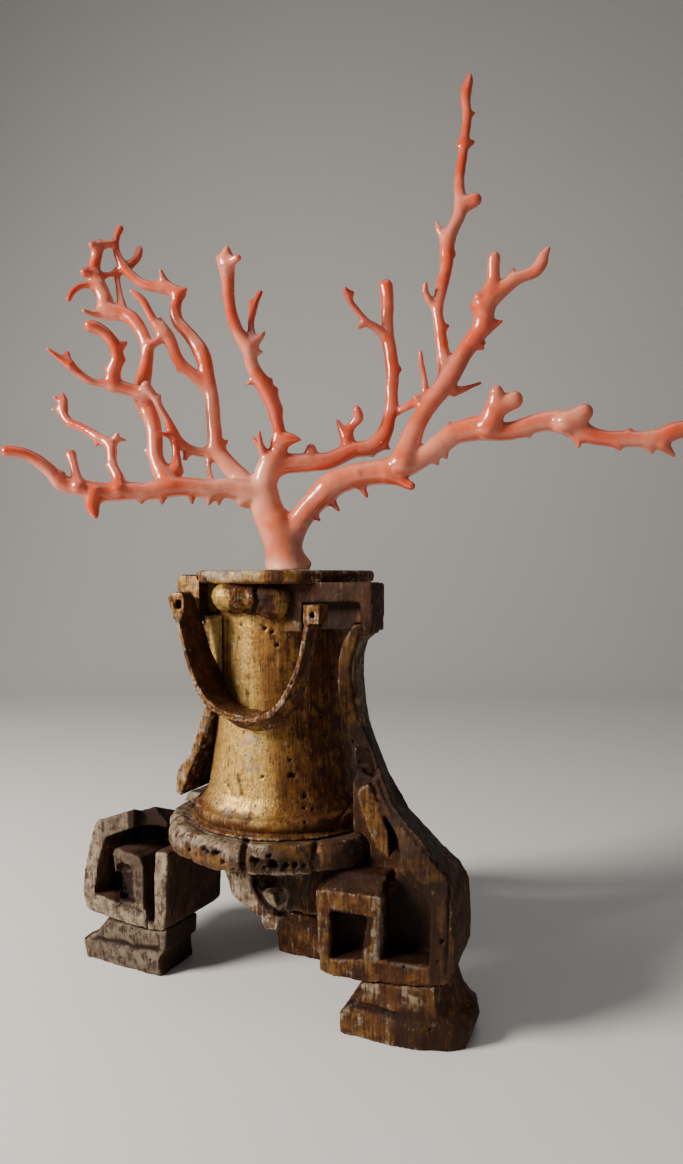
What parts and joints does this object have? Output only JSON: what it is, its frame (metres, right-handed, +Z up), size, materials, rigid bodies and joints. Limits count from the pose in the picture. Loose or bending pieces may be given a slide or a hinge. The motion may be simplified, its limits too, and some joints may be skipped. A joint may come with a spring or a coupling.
{
  "type": "coral branch on stand",
  "caption": "Branch of polished precious coral with many forked twigs, standing on a worn, carved and gilded wooden base with scrolled legs.",
  "frame": {"origin": "middle of the object's footprint box, on the surface that it stands on", "axes": "+Z up, the front of the object looks along -Y, +X is to the right as seen from the front"},
  "size_m": [0.3232, 0.1674, 0.4596],
  "materials": {
    "coral": "polished, glossy",
    "giltwood": "old gilding, worn down to brown bole",
    "worn_gesso": "gilding worn down to dull gesso and wood"
  },
  "bodies": {
    "root": {"coral_trunk": "coral", "coral_arm_right": "coral", "coral_stem_right": "coral", "coral_spire": "coral", "coral_mid_right": "coral", "coral_mid_left": "coral", "coral_arm_left": "coral", "coral_crook": "coral", "coral_upright": "coral", "coral_lower_fork": "coral", "coral_inner": "coral", "coral_inner_link": "coral", "coral_slope": "coral", "coral_ribbon": "coral", "top_plate": "giltwood", "bell_body": "giltwood", "swag_front": "giltwood", "boss_front": "giltwood", "block_right": "giltwood", "block_left": "giltwood", "bracket_left": "giltwood", "leg_right": "giltwood", "leg_back": "giltwood", "block_back": "giltwood", "foot_pad_right": "giltwood", "foot_pad_back": "giltwood", "base_ring": "worn_gesso", "leg_left": "worn_gesso", "foot_pad_left": "worn_gesso", "pendant_front": "worn_gesso"}
  },
  "joints": []
}
